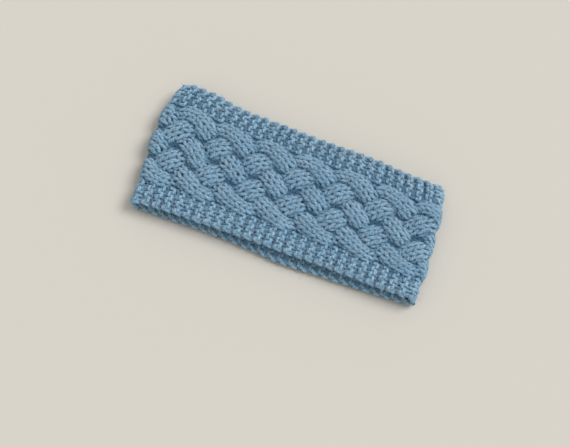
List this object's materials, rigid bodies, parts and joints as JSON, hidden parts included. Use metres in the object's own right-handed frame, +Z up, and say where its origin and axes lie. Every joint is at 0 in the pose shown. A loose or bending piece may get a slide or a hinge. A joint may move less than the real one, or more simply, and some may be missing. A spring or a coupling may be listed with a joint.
{
  "type": "ear warmer headband",
  "caption": "Knitted ear warmer headband: a closed loop with a wide plaited cable between two garter stitch borders, lying flat in two layers.",
  "frame": {"origin": "on the surface that the band lies on, below the middle of its box", "axes": "+X along the flat band from fold to fold, +Y to its far edge, +Z up through both layers"},
  "size_m": [0.2454, 0.115, 0.0192],
  "materials": {
    "plait_yarn": "light blue plied yarn in stocking stitch, soft and matt",
    "garter_yarn": "light blue plied yarn in garter stitch, soft and matt"
  },
  "bodies": {
    "root": {"cable_panel": "plait_yarn", "border_upper": "garter_yarn", "border_lower": "garter_yarn"}
  },
  "joints": []
}
